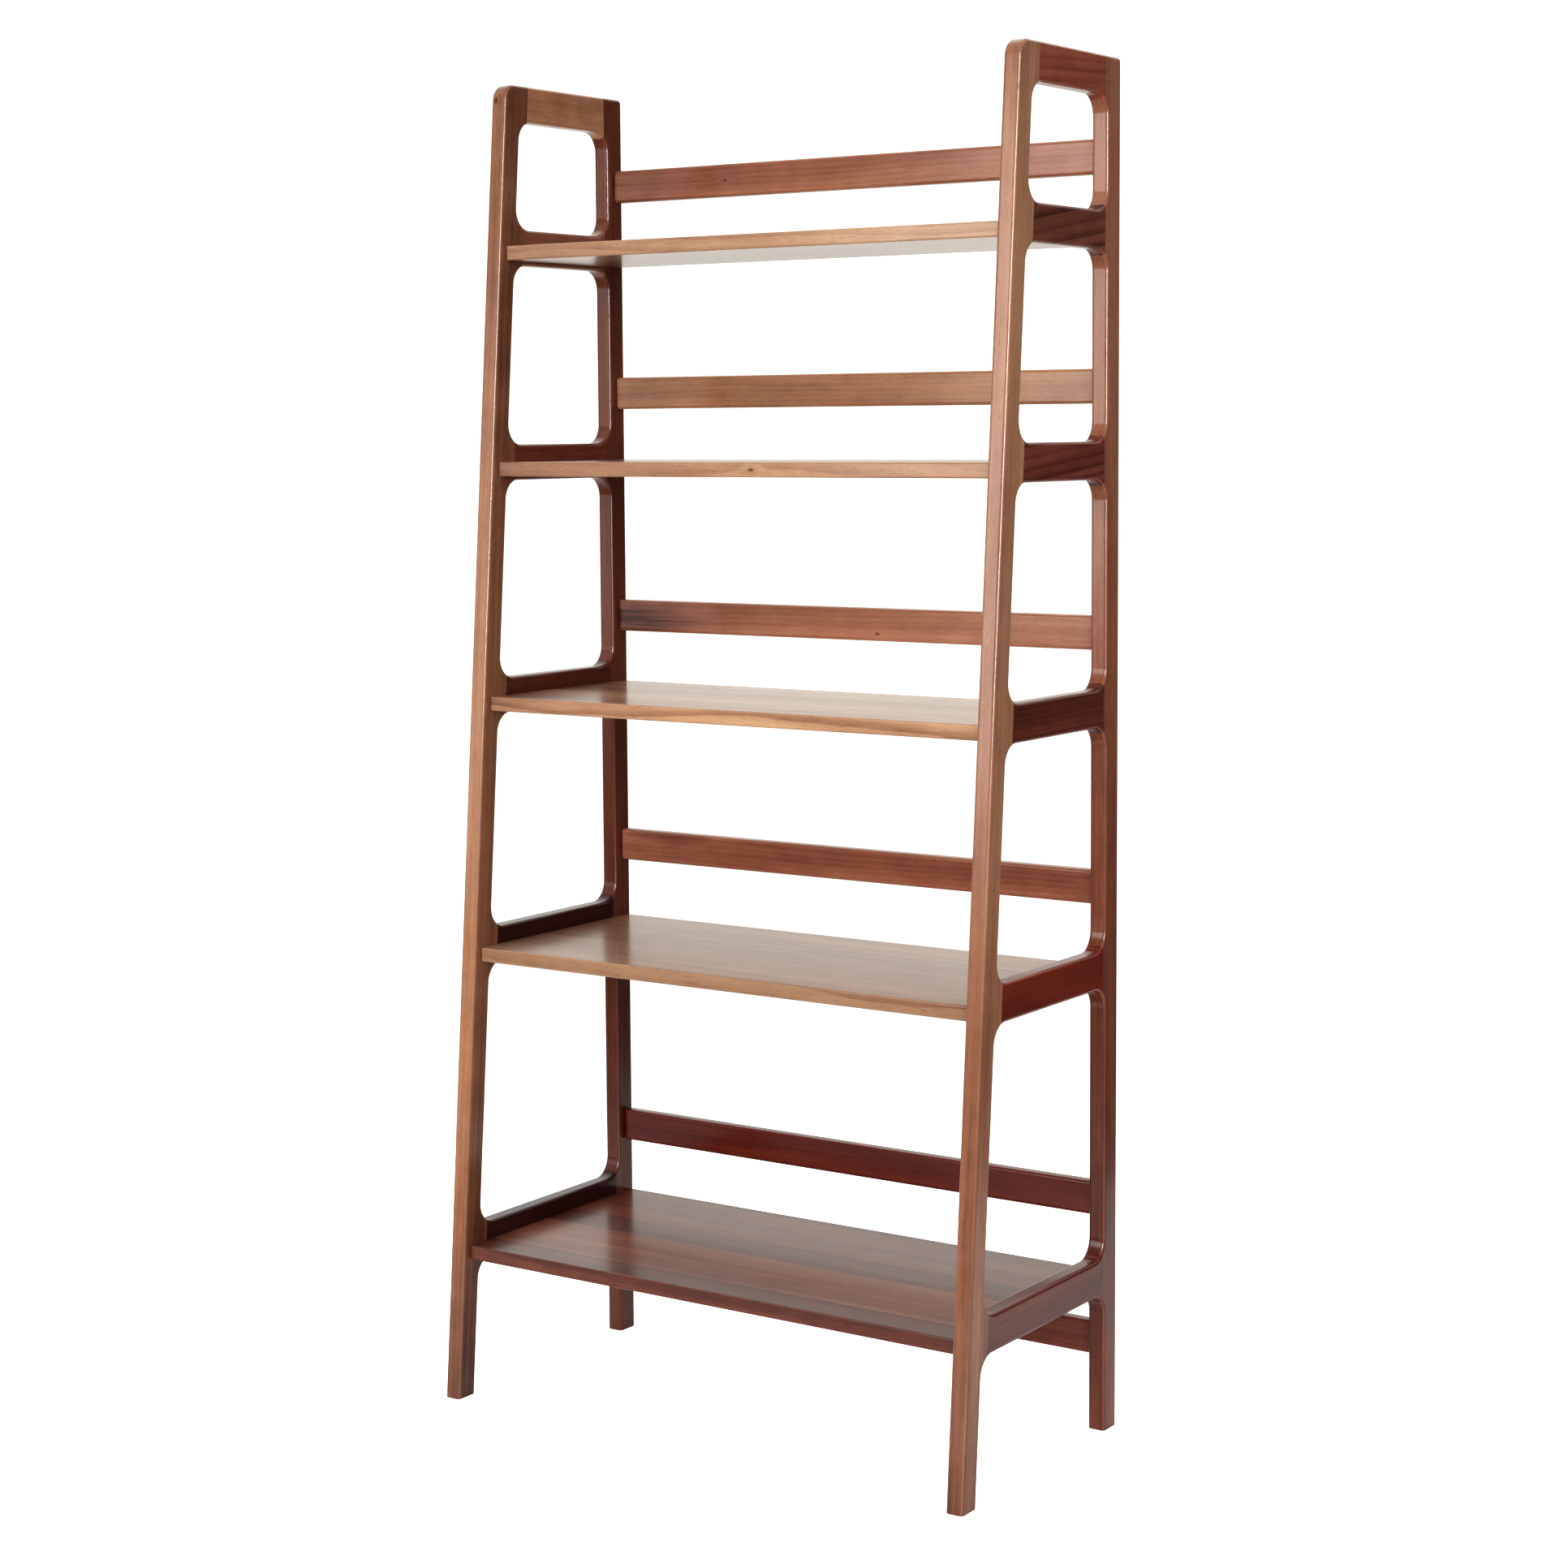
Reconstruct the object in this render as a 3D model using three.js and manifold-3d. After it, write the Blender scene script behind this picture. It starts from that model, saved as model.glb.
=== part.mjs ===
// Ladder shelf: two mirror-image ladder side frames carry five shelf boards and six back rails.
// Millimetres. +X is right, -Y is the front, +Z is up. The origin is at the middle of the
// footprint, on the floor.
import * as THREE from "three";
import { mergeVertices } from "three/addons/utils/BufferGeometryUtils.js";
import Module from "manifold-3d";

const wasm = await Module();
wasm.setup();

// ---- driving dimensions ----
const HEIGHT = 1830;
const WIDTH = 841;
const DEPTH = 412; // at the floor
const RAKE = 0.08; // the front legs lean back by this much per unit of height
const GAP = 0.3; // clearance between neighbouring pieces

const FRAME_THICK = 25; // side frames, along X
const LEG_DEPTH = 35.5;
const ARRIS = 5; // rounding of the frames' long edges
const TOP_FRONT_R = 22;
const TOP_REAR_R = 6;
const WINDOW_R = 28; // rounded corners of the openings between the rails
const FRONT_EAR = 13; // the legs' stubs reach this far towards the rails
const BACK_EAR = 8;

const RAIL_HEIGHT = 50;
const RAIL_TOPS = [1830, 1631, 1332, 1006, 656, 238.5];
const TENON = { thick: 9, height: 30, length: 24 };

const SHELF_THICK = 20;
const SHELF_BELOW_RAIL_TOP = 24;
const SHELF_FRONT_SETBACK = 11;
const SHELF_REAR_SETBACK = 10;
const SHELF_EDGE_R = 2.5;
const SHELF_CORNER_R = 4;

const BACK_RAIL_TOPS = [1726, 1427.5, 1102, 761.5, 337.5, 145];
const BACK_RAIL = { height: 46, thick: 19, setback: 4, round: 4.5, cornerRound: 5 };
const STUB = { thick: 9, height: 28, length: 12 };

const DOWEL = { radius: 4, inRail: 14, inShelf: 22, fromFront: 62, fromRear: 58, sides: 8 };

const FRONT_Y = -DEPTH / 2; // front face of the front legs at the floor
const BACK_Y = DEPTH / 2; // rear face of the back legs
const INNER_X = WIDTH / 2 - FRAME_THICK; // inner face of the right frame
const BACK_JOINT = BACK_Y - LEG_DEPTH - BACK_EAR; // where the rails meet the back legs' stubs
const BACK_RAIL_Y = BACK_Y - BACK_RAIL.setback - BACK_RAIL.thick / 2;

// Depth position of the front legs' front face at height z.
const frontFace = (z) => FRONT_Y + RAKE * z;
// Depth position of the joint between a front leg's stub and a rail at height z.
const frontJoint = (z) => frontFace(z) + LEG_DEPTH + FRONT_EAR;
const shelfTopUnder = (railTop) => railTop - SHELF_BELOW_RAIL_TOP;
// Depth positions of the two dowels at each end of a shelf.
const dowelDepths = (shelfTop) => [frontFace(shelfTop) + DOWEL.fromFront, BACK_Y - DOWEL.fromRear];

// ---- helpers ----

// A closed geometry as a solid.
function solidOf(geometry) {
  const bare = geometry.clone();
  bare.deleteAttribute("normal");
  bare.deleteAttribute("uv");
  const merged = mergeVertices(bare, 1e-4);
  return new wasm.Manifold(
    new wasm.Mesh({
      numProp: 3,
      vertProperties: merged.attributes.position.array,
      triVerts: new Uint32Array(merged.index.array),
    }),
  );
}

// A solid as a geometry with flat faces.
function geometryOf(solid) {
  const { vertProperties, triVerts } = solid.getMesh();
  const shared = new THREE.BufferGeometry();
  shared.setAttribute("position", new THREE.BufferAttribute(new Float32Array(vertProperties), 3));
  shared.setIndex(new THREE.BufferAttribute(new Uint32Array(triVerts), 1));
  const flat = shared.toNonIndexed();
  flat.computeVertexNormals();
  return flat;
}

function woodMesh(name, geometry, colour) {
  const material = new THREE.MeshStandardMaterial({ color: colour, roughness: 0.35, metalness: 0 });
  const mesh = new THREE.Mesh(geometry, material);
  mesh.name = name;
  return mesh;
}

// A box between two opposite corners, each given in either order.
function box(a, b) {
  const size = a.map((value, i) => Math.abs(b[i] - value));
  const geometry = new THREE.BoxGeometry(...size);
  geometry.translate(...a.map((value, i) => (value + b[i]) / 2));
  return solidOf(geometry);
}

// A dowel, or, when grown by the gap, the bore for it, along X about a point.
function dowelBar(x, y, z, grow) {
  const length = DOWEL.inRail + DOWEL.inShelf + 2 * grow;
  const radius = DOWEL.radius + grow;
  const geometry = new THREE.CylinderGeometry(radius, radius, length, DOWEL.sides);
  geometry.rotateZ(Math.PI / 2);
  geometry.translate(x, y, z);
  return solidOf(geometry);
}

// Adds a closed outline to a path. Each corner is [u, v, radius].
function roundedOutline(path, corners) {
  const count = corners.length;
  corners.forEach(([u, v, radius], i) => {
    const corner = new THREE.Vector2(u, v);
    const [pu, pv] = corners[(i + count - 1) % count];
    const [nu, nv] = corners[(i + 1) % count];
    const toPrevious = new THREE.Vector2(pu, pv).sub(corner).normalize();
    const toNext = new THREE.Vector2(nu, nv).sub(corner).normalize();
    const half = Math.acos(toPrevious.dot(toNext)) / 2;
    const reach = radius / Math.tan(half);
    const start = corner.clone().addScaledVector(toPrevious, reach);
    if (i === 0) path.moveTo(start.x, start.y);
    else path.lineTo(start.x, start.y);
    if (radius > 0) {
      const middle = toPrevious.clone().add(toNext).normalize();
      const centre = corner.clone().addScaledVector(middle, radius / Math.sin(half));
      const end = corner.clone().addScaledVector(toNext, reach);
      const from = start.sub(centre).angle();
      const to = end.sub(centre).angle();
      path.absarc(centre.x, centre.y, radius, from, to, toPrevious.cross(toNext) > 0);
    }
  });
  path.closePath();
  return path;
}

// Extrudes a shape through `thick`, centred on its plane, with its long edges rounded.
function roundedPlate(shape, thick, round, edgeSegments, curveSegments) {
  const depth = thick - 2 * round;
  const geometry = new THREE.ExtrudeGeometry(shape, {
    depth,
    bevelEnabled: true,
    bevelThickness: round,
    bevelSize: round,
    bevelOffset: -round,
    bevelSegments: edgeSegments,
    curveSegments,
  });
  geometry.translate(0, 0, -depth / 2);
  return geometry;
}

// Turns a geometry drawn in (depth, height) so that its thickness lies along X.
function alongX(geometry) {
  const basis = new THREE.Matrix4().makeBasis(
    new THREE.Vector3(0, 1, 0),
    new THREE.Vector3(0, 0, 1),
    new THREE.Vector3(1, 0, 0),
  );
  return geometry.applyMatrix4(basis);
}

// ---- side frames, drawn about the middle of their own thickness ----

// The outline of one whole side frame, with the open space between the feet.
function frameShape() {
  const under = -20; // the feet are drawn past the floor and cut off flat
  const lowRail = RAIL_TOPS.at(-1) - RAIL_HEIGHT;
  return roundedOutline(new THREE.Shape(), [
    [frontFace(under), under, 0],
    [frontFace(under) + LEG_DEPTH, under, 0],
    [frontFace(lowRail) + LEG_DEPTH, lowRail, WINDOW_R],
    [BACK_Y - LEG_DEPTH, lowRail, WINDOW_R],
    [BACK_Y - LEG_DEPTH, under, 0],
    [BACK_Y, under, 0],
    [BACK_Y, HEIGHT, TOP_REAR_R],
    [frontFace(HEIGHT), HEIGHT, TOP_FRONT_R],
  ]);
}

// The opening between one rail and the rail below it.
function windowPath(bottom, top) {
  return roundedOutline(new THREE.Path(), [
    [frontFace(bottom) + LEG_DEPTH, bottom, WINDOW_R],
    [frontFace(top) + LEG_DEPTH, top, WINDOW_R],
    [BACK_Y - LEG_DEPTH, top, WINDOW_R],
    [BACK_Y - LEG_DEPTH, bottom, WINDOW_R],
  ]);
}

function wholeFrame() {
  const shape = frameShape();
  RAIL_TOPS.slice(1).forEach((top, i) => {
    shape.holes.push(windowPath(top, RAIL_TOPS[i] - RAIL_HEIGHT));
  });
  const plate = solidOf(alongX(roundedPlate(shape, FRAME_THICK, ARRIS, 2, 3)));
  return plate.intersect(box([-30, -400, 0], [30, 400, HEIGHT + 50]));
}

// A block through the frame whose front and rear ends follow two depth functions of height.
function slab(frontOf, rearOf, low, high) {
  const shape = new THREE.Shape([
    new THREE.Vector2(frontOf(low), low),
    new THREE.Vector2(rearOf(low), low),
    new THREE.Vector2(rearOf(high), high),
    new THREE.Vector2(frontOf(high), high),
  ]);
  const geometry = new THREE.ExtrudeGeometry(shape, { depth: 60, bevelEnabled: false });
  geometry.translate(0, 0, -30);
  return solidOf(alongX(geometry));
}

// A rail's tenon at one end, or, when grown by the gap, the mortise that takes it.
function tenonBlock(railTop, end, grow) {
  const middle = railTop - RAIL_HEIGHT / 2;
  const joint = end === "front" ? frontJoint(middle) : BACK_JOINT;
  const outward = end === "front" ? -1 : 1;
  const halfThick = TENON.thick / 2 + grow;
  const halfHeight = TENON.height / 2 + grow;
  return box(
    [-halfThick, joint - outward * 6, middle - halfHeight],
    [halfThick, joint + outward * (TENON.length + grow), middle + halfHeight],
  );
}

// A back rail's stub tenon on one side, or, when grown by the gap, its mortise. The rail's
// centre is at the given point.
function stubBlock(side, y, z, grow, middleX) {
  const halfThick = STUB.thick / 2 + grow;
  const halfHeight = STUB.height / 2 + grow;
  return box(
    [side * (INNER_X - 6) - middleX, y - halfThick, z - halfHeight],
    [side * (INNER_X + STUB.length + grow) - middleX, y + halfThick, z + halfHeight],
  );
}

function sideFrame(label, side) {
  const group = new THREE.Group();
  group.position.x = (side * (WIDTH - FRAME_THICK)) / 2;
  const whole = wholeFrame();

  let frontLeg = whole.intersect(slab(() => -500, frontJoint, -10, HEIGHT + 10));
  let backLeg = whole.intersect(slab(() => BACK_JOINT, () => 500, -10, HEIGHT + 10));
  RAIL_TOPS.forEach((top) => {
    frontLeg = frontLeg.subtract(tenonBlock(top, "front", GAP));
    backLeg = backLeg.subtract(tenonBlock(top, "back", GAP));
  });
  BACK_RAIL_TOPS.forEach((top) => {
    const z = top - BACK_RAIL.height / 2;
    backLeg = backLeg.subtract(stubBlock(side, BACK_RAIL_Y, z, GAP, group.position.x));
  });
  group.add(woodMesh(`${label}_front_leg`, geometryOf(frontLeg), 0x9a6548));
  group.add(woodMesh(`${label}_back_leg`, geometryOf(backLeg), 0x6b3a2c));

  RAIL_TOPS.forEach((top, i) => {
    const region = slab(
      (z) => frontJoint(z) + GAP,
      () => BACK_JOINT - GAP,
      top - RAIL_HEIGHT - WINDOW_R,
      top + WINDOW_R,
    );
    let rail = whole.intersect(region);
    rail = rail.add(tenonBlock(top, "front", 0)).add(tenonBlock(top, "back", 0));
    if (i > 0) {
      const shelfTop = shelfTopUnder(top);
      const x = side * (INNER_X + (DOWEL.inRail - DOWEL.inShelf) / 2) - group.position.x;
      dowelDepths(shelfTop).forEach((y) => {
        rail = rail.subtract(dowelBar(x, y, shelfTop - SHELF_THICK / 2, GAP));
      });
    }
    const name = i === 0 ? `${label}_top_rail` : `${label}_side_rail_${i}`;
    group.add(woodMesh(name, geometryOf(rail), 0x5e2f24));
  });
  return group;
}

// ---- shelves with their hidden dowels, drawn about the middle of the board's thickness ----

function shelfGroup(number, top) {
  const group = new THREE.Group();
  group.position.z = top - SHELF_THICK / 2;
  const front = frontFace(top) + SHELF_FRONT_SETBACK;
  const rear = BACK_Y - SHELF_REAR_SETBACK;
  const halfLength = INNER_X - GAP;
  const shape = roundedOutline(new THREE.Shape(), [
    [-halfLength, front, SHELF_CORNER_R],
    [halfLength, front, SHELF_CORNER_R],
    [halfLength, rear, SHELF_CORNER_R],
    [-halfLength, rear, SHELF_CORNER_R],
  ]);
  let board = solidOf(roundedPlate(shape, SHELF_THICK, SHELF_EDGE_R, 2, 1));
  const dowelGeometry = geometryOf(dowelBar(0, 0, 0, 0));
  [["left", -1], ["right", 1]].forEach(([label, side]) => {
    const x = side * (INNER_X + (DOWEL.inRail - DOWEL.inShelf) / 2);
    dowelDepths(top).forEach((y, i) => {
      board = board.subtract(dowelBar(x, y, 0, GAP));
      const place = i === 0 ? "front" : "rear";
      const dowel = woodMesh(`dowel_${number}_${label}_${place}`, dowelGeometry, 0xc9a27c);
      dowel.position.set(x, y, 0);
      group.add(dowel);
    });
  });
  group.add(woodMesh(`shelf_${number}`, geometryOf(board), 0xb07a55));
  return group;
}

// ---- back rails, drawn about their own centre ----

function backRailGeometry() {
  const halfLength = INNER_X - GAP;
  const halfHeight = BACK_RAIL.height / 2;
  const shape = roundedOutline(new THREE.Shape(), [
    [-halfLength, -halfHeight, BACK_RAIL.cornerRound],
    [halfLength, -halfHeight, BACK_RAIL.cornerRound],
    [halfLength, halfHeight, BACK_RAIL.cornerRound],
    [-halfLength, halfHeight, BACK_RAIL.cornerRound],
  ]);
  const plate = roundedPlate(shape, BACK_RAIL.thick, BACK_RAIL.round, 2, 2);
  const bar = solidOf(plate.rotateX(Math.PI / 2));
  return geometryOf(bar.add(stubBlock(-1, 0, 0, 0, 0)).add(stubBlock(1, 0, 0, 0, 0)));
}

// ---- the whole shelf ----

const ladderShelf = new THREE.Group();
ladderShelf.name = "ladder_shelf";
ladderShelf.add(sideFrame("left", -1), sideFrame("right", 1));
RAIL_TOPS.slice(1).forEach((top, i) => {
  ladderShelf.add(shelfGroup(i + 1, shelfTopUnder(top)));
});
const railGeometry = backRailGeometry();
BACK_RAIL_TOPS.forEach((top, i) => {
  const rail = woodMesh(`back_rail_${i + 1}`, railGeometry, 0x6b3327);
  rail.position.set(0, BACK_RAIL_Y, top - BACK_RAIL.height / 2);
  ladderShelf.add(rail);
});

export default ladderShelf;
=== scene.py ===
"""Ladder shelf in lacquered walnut: two ladder side frames, five boards and six back rails.

Laid out as an add-on and run as a script. Lengths are in metres, +Z is up and -Y is the front.
"""

import math
from dataclasses import dataclass

import bmesh
import bpy
from mathutils import Euler, Matrix, Vector


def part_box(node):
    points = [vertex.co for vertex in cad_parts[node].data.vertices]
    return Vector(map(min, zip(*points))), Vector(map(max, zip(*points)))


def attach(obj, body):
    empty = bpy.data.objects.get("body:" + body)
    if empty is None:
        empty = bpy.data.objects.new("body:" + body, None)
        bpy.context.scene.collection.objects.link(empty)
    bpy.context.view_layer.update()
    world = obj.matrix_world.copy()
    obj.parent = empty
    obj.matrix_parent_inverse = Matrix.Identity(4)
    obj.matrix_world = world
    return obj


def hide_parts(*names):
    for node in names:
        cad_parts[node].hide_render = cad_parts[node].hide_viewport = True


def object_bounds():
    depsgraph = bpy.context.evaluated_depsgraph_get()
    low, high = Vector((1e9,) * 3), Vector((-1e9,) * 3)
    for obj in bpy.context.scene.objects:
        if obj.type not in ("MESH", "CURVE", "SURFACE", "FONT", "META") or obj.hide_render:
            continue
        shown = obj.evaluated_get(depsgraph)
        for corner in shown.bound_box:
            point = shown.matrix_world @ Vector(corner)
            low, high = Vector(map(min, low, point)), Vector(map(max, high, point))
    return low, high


bl_info = {
    "name": "Ladder shelf",
    "version": (1, 0, 0),
    "blender": (4, 5, 0),
    "location": "View3D > Sidebar > Ladder shelf",
    "description": "Builds a walnut ladder shelf around its fixed frame of solids",
    "category": "Add Mesh",
}

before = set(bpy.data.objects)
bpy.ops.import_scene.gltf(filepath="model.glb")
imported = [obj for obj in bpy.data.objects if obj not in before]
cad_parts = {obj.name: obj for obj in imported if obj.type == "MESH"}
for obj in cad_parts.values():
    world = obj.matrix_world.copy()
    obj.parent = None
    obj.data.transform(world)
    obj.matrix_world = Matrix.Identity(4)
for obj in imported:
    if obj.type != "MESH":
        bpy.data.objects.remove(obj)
CAD_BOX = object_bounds()
LOW, HIGH = CAD_BOX

# Where things are, read off the frame's own solids.
LEG_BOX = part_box("left_back_leg")
SHELF_BOXES = [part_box(f"shelf_{i}") for i in range(1, 6)]
BACK_RAIL_BOXES = [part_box(f"back_rail_{i}") for i in range(1, 7)]

SIDES = ("left", "right")
RAIL_TOPS = (1.830, 1.631, 1.332, 1.006, 0.656, 0.2385)
TENON = Vector((0.009, 0.024, 0.030))  # thickness, length, height
STUB = Vector((0.012, 0.009, 0.028))  # length, thickness, height
TENON_ROOT = 0.006  # how deep a tenon starts inside its own rail
DOWEL_ENDS = ("front", "rear")
DOWEL_BORE = 0.0043
FLUTE_SIDES = 48  # sides of a dowel, every other one sunk as a flute
FLUTE_DEPTH = 0.95
DOWEL_CHAMFER = 0.0008
CLEARANCE = 0.0003

SMALL = 1e-5
CUT_TOLERANCE = 1e-6
FACING = 0.9  # a face looks along an axis when its normal reaches this far
FLAT = 0.9999  # two faces lie in one plane when their normals agree this far
SAW_ROOM = 0.06  # how far beyond a rail its neighbours are sawn off
WIDE_STEPS = 12
NARROW_STEPS = 6
EDGE_STEPS = 5

CAMERA_SPOT = (2.2286, -3.2770, 1.3523)
CAMERA_TURN = (0.59689, 0.09172, -0.00679)  # yaw, pitch down, roll
CAMERA_LENS = 67.57
CAMERA_SENSOR = 36.0
CAMERA_SHIFT = (0.0080, -0.0543)


# ---- settings


def length(name, text, default):
    """A length property in metres."""
    return bpy.props.FloatProperty(
        name=name, description=text, default=default, min=0.0, precision=4, unit="LENGTH"
    )


def colour(name, text, default):
    """A colour property."""
    return bpy.props.FloatVectorProperty(
        name=name, description=text, default=default, size=3, min=0.0, max=1.0, subtype="COLOR"
    )


class LadderSizes(bpy.types.PropertyGroup):
    """Sizes of the timber."""

    frame_thick: length("Frame thickness", "Thickness of the side frames", LEG_BOX[1].x - LEG_BOX[0].x)
    leg_depth: length("Leg depth", "Depth of a leg, front to back", 0.0355)
    rake: bpy.props.FloatProperty(
        name="Rake",
        description="How far the front legs lean back per unit of height",
        default=0.08,
        min=0.0,
        max=1.0,
        subtype="FACTOR",
    )
    front_stub: length("Front stub", "How far a front leg's stubs reach towards the rails", 0.013)
    back_stub: length("Back stub", "How far a back leg's stubs reach towards the rails", 0.008)
    rail_height: length("Rail height", "Height of the side rails", 0.050)
    arris: length("Arris", "Rounding of the side frames' long edges", 0.005)
    window_radius: length("Window radius", "Rounded corners of the side openings", 0.028)
    top_front_radius: length("Top front radius", "Rounding of the frames' top front corner", 0.022)
    top_rear_radius: length("Top rear radius", "Rounding of the frames' top rear corner", 0.006)
    seam: length("Seam", "Width of the fine joint line between two pieces", 0.0003)
    board_edge: length("Board edge", "Rounding of the boards' long edges", 0.0025)
    board_corner: length("Board corner", "Rounding of the boards' corners", 0.004)
    back_rail_edge: length("Back rail edge", "Rounding of the back rails' edges", 0.0045)
    back_rail_corner: length("Back rail corner", "Rounding of the back rails' ends", 0.005)
    dowel_radius: length("Dowel radius", "Radius of the dowels", 0.004)


class LadderColours(bpy.types.PropertyGroup):
    """Colours of the timber and the floor."""

    honey_vein: colour("Honey vein", "Darkest lines of the light walnut", (0.060, 0.018, 0.010))
    honey_dark: colour("Honey dark", "Dark bands of the light walnut", (0.205, 0.085, 0.045))
    honey_middle: colour("Honey middle", "Body of the light walnut", (0.350, 0.170, 0.094))
    honey_light: colour("Honey light", "Pale streaks of the light walnut", (0.510, 0.290, 0.165))
    russet_vein: colour("Russet vein", "Darkest lines of the red walnut", (0.040, 0.007, 0.004))
    russet_dark: colour("Russet dark", "Dark bands of the red walnut", (0.115, 0.029, 0.015))
    russet_middle: colour("Russet middle", "Body of the red walnut", (0.205, 0.066, 0.034))
    russet_light: colour("Russet light", "Pale streaks of the red walnut", (0.320, 0.135, 0.075))
    umber_vein: colour("Umber vein", "Darkest lines of the dark walnut", (0.022, 0.002, 0.001))
    umber_dark: colour("Umber dark", "Dark bands of the dark walnut", (0.060, 0.008, 0.004))
    umber_middle: colour("Umber middle", "Body of the dark walnut", (0.115, 0.020, 0.010))
    umber_light: colour("Umber light", "Pale streaks of the dark walnut", (0.200, 0.055, 0.030))
    beech_dark: colour("Beech dark", "Grain of the dowels", (0.42, 0.25, 0.14))
    beech_light: colour("Beech light", "Body of the dowels", (0.62, 0.42, 0.26))
    beech_fleck: colour("Beech fleck", "Short flecks in the dowels", (0.30, 0.16, 0.08))
    floor: colour("Floor", "Pale studio floor", (0.92, 0.92, 0.915))


# ---- making tools


def clear_selection():
    """Leaves edit mode and deselects everything."""
    if bpy.context.mode != "OBJECT":
        bpy.ops.object.mode_set(mode="OBJECT")
    bpy.ops.object.select_all(action="DESELECT")


def pick(piece):
    """Selects one object and makes it active."""
    clear_selection()
    piece.select_set(True)
    bpy.context.view_layer.objects.active = piece


def newest(name):
    """The object that was just added, under its own name."""
    piece = bpy.context.object
    piece.name = piece.data.name = name
    return piece


def settle(piece):
    """Puts a piece's place, turn and size into its mesh."""
    pick(piece)
    bpy.ops.object.transform_apply(location=True, rotation=True, scale=True)


def box_piece(name, low, high):
    """A block between two corners, its object at the origin."""
    low, high = Vector(low), Vector(high)
    clear_selection()
    bpy.ops.mesh.primitive_cube_add(size=1.0, location=(low + high) / 2)
    piece = newest(name)
    piece.scale = high - low
    settle(piece)
    return piece


def bar_piece(name, radius, low_x, high_x, y, z, sides=32):
    """A round bar along X, its object at the origin."""
    clear_selection()
    centre = ((low_x + high_x) / 2, y, z)
    turn = (0.0, math.pi / 2, 0.0)
    bpy.ops.mesh.primitive_cylinder_add(
        vertices=sides, radius=radius, depth=high_x - low_x, location=centre, rotation=turn
    )
    piece = newest(name)
    settle(piece)
    return piece


def copy_piece(source, name):
    """A copy with a mesh of its own."""
    pick(source)
    bpy.ops.object.duplicate(linked=False)
    return newest(name)


def drop(piece):
    """Deletes a helper object."""
    pick(piece)
    bpy.ops.object.delete()


def edit(piece):
    """Enters edit mode."""
    pick(piece)
    bpy.ops.object.mode_set(mode="EDIT")


def choose(piece, mode, test):
    """Selects the vertices, edges or faces that pass a test, and stops if none does."""
    bpy.ops.mesh.select_mode(type=mode)
    bpy.ops.mesh.select_all(action="DESELECT")
    mesh = bmesh.from_edit_mesh(piece.data)
    items = {"VERT": mesh.verts, "EDGE": mesh.edges, "FACE": mesh.faces}[mode]
    chosen = [item for item in items if test(item)]
    if not chosen:
        raise RuntimeError(f"{piece.name}: no {mode.lower()} fits")
    for item in chosen:
        item.select_set(True)
    mesh.select_flush_mode()
    bmesh.update_edit_mesh(piece.data)


def done():
    """Leaves edit mode."""
    bpy.ops.object.mode_set(mode="OBJECT")


def slice_through(point, normal, clear=False):
    """Cuts the whole mesh by a plane, and can clear the side that the normal points to."""
    bpy.ops.mesh.select_mode(type="VERT")
    bpy.ops.mesh.select_all(action="SELECT")
    bpy.ops.mesh.bisect(
        plane_co=point, plane_no=normal, use_fill=clear, clear_outer=clear, threshold=CUT_TOLERANCE
    )


def middle(edge):
    """The middle of an edge."""
    return (edge.verts[0].co + edge.verts[1].co) / 2


def runs_along(edge, axis):
    """True if an edge runs along one axis."""
    span = edge.verts[0].co - edge.verts[1].co
    return abs(span[axis]) > 0.999 * span.length


def round_edges(piece, test, offset, segments):
    """Rounds the edges that pass a test."""
    choose(piece, "EDGE", test)
    bpy.ops.mesh.bevel(
        offset=offset, segments=segments, profile=0.5, affect="EDGES", clamp_overlap=False
    )


def combine(piece, tool, operation):
    """Cuts a piece by a tool or joins the two, and deletes the tool."""
    pick(piece)
    modifier = piece.modifiers.new("shape", "BOOLEAN")
    modifier.operation = operation
    modifier.solver = "EXACT"
    modifier.object = tool
    bpy.ops.object.modifier_apply(modifier="shape")
    drop(tool)


def finish_surface(piece):
    """Smooth rounded edges beside flat faces that stay flat."""
    pick(piece)
    bpy.ops.object.shade_smooth_by_angle(angle=math.radians(40.0))
    modifier = piece.modifiers.new("flat faces", "WEIGHTED_NORMAL")
    modifier.keep_sharp = True
    modifier.weight = 100
    bpy.ops.object.modifier_apply(modifier="flat faces")


def mirror_piece(source, name):
    """A mirror image on the other side of the middle, with a mesh of its own."""
    piece = copy_piece(source, name)
    piece.scale = (-1.0, 1.0, 1.0)
    settle(piece)
    edit(piece)
    bpy.ops.mesh.select_all(action="SELECT")
    bpy.ops.mesh.normals_make_consistent(inside=False)
    done()
    return piece


def place(piece, node, slot):
    """Stands a finished piece in for its solid and gives it its wood."""
    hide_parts(node)
    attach(piece, "root")
    piece.data.materials.clear()
    piece.data.materials.append(beech() if slot == "beech_dowel" else Walnut(node).finish())


# ---- side frames


def front_face(sizes, z):
    """Depth of the front legs' front face at a height."""
    return LOW.y + sizes.rake * z


def leg_plane(sizes, z):
    """Depth of the front legs' rear face at a height."""
    return front_face(sizes, z) + sizes.leg_depth


def back_plane(sizes):
    """Depth of the back legs' front face."""
    return HIGH.y - sizes.leg_depth


def window_heights(sizes):
    """The bottom and top of each opening between two rails, from the top down."""
    return [(low, high - sizes.rail_height) for high, low in zip(RAIL_TOPS, RAIL_TOPS[1:])]


def corner_reach(radius, angle):
    """How far from a corner a rounding of that radius starts."""
    return radius / math.tan(angle / 2)


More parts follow.
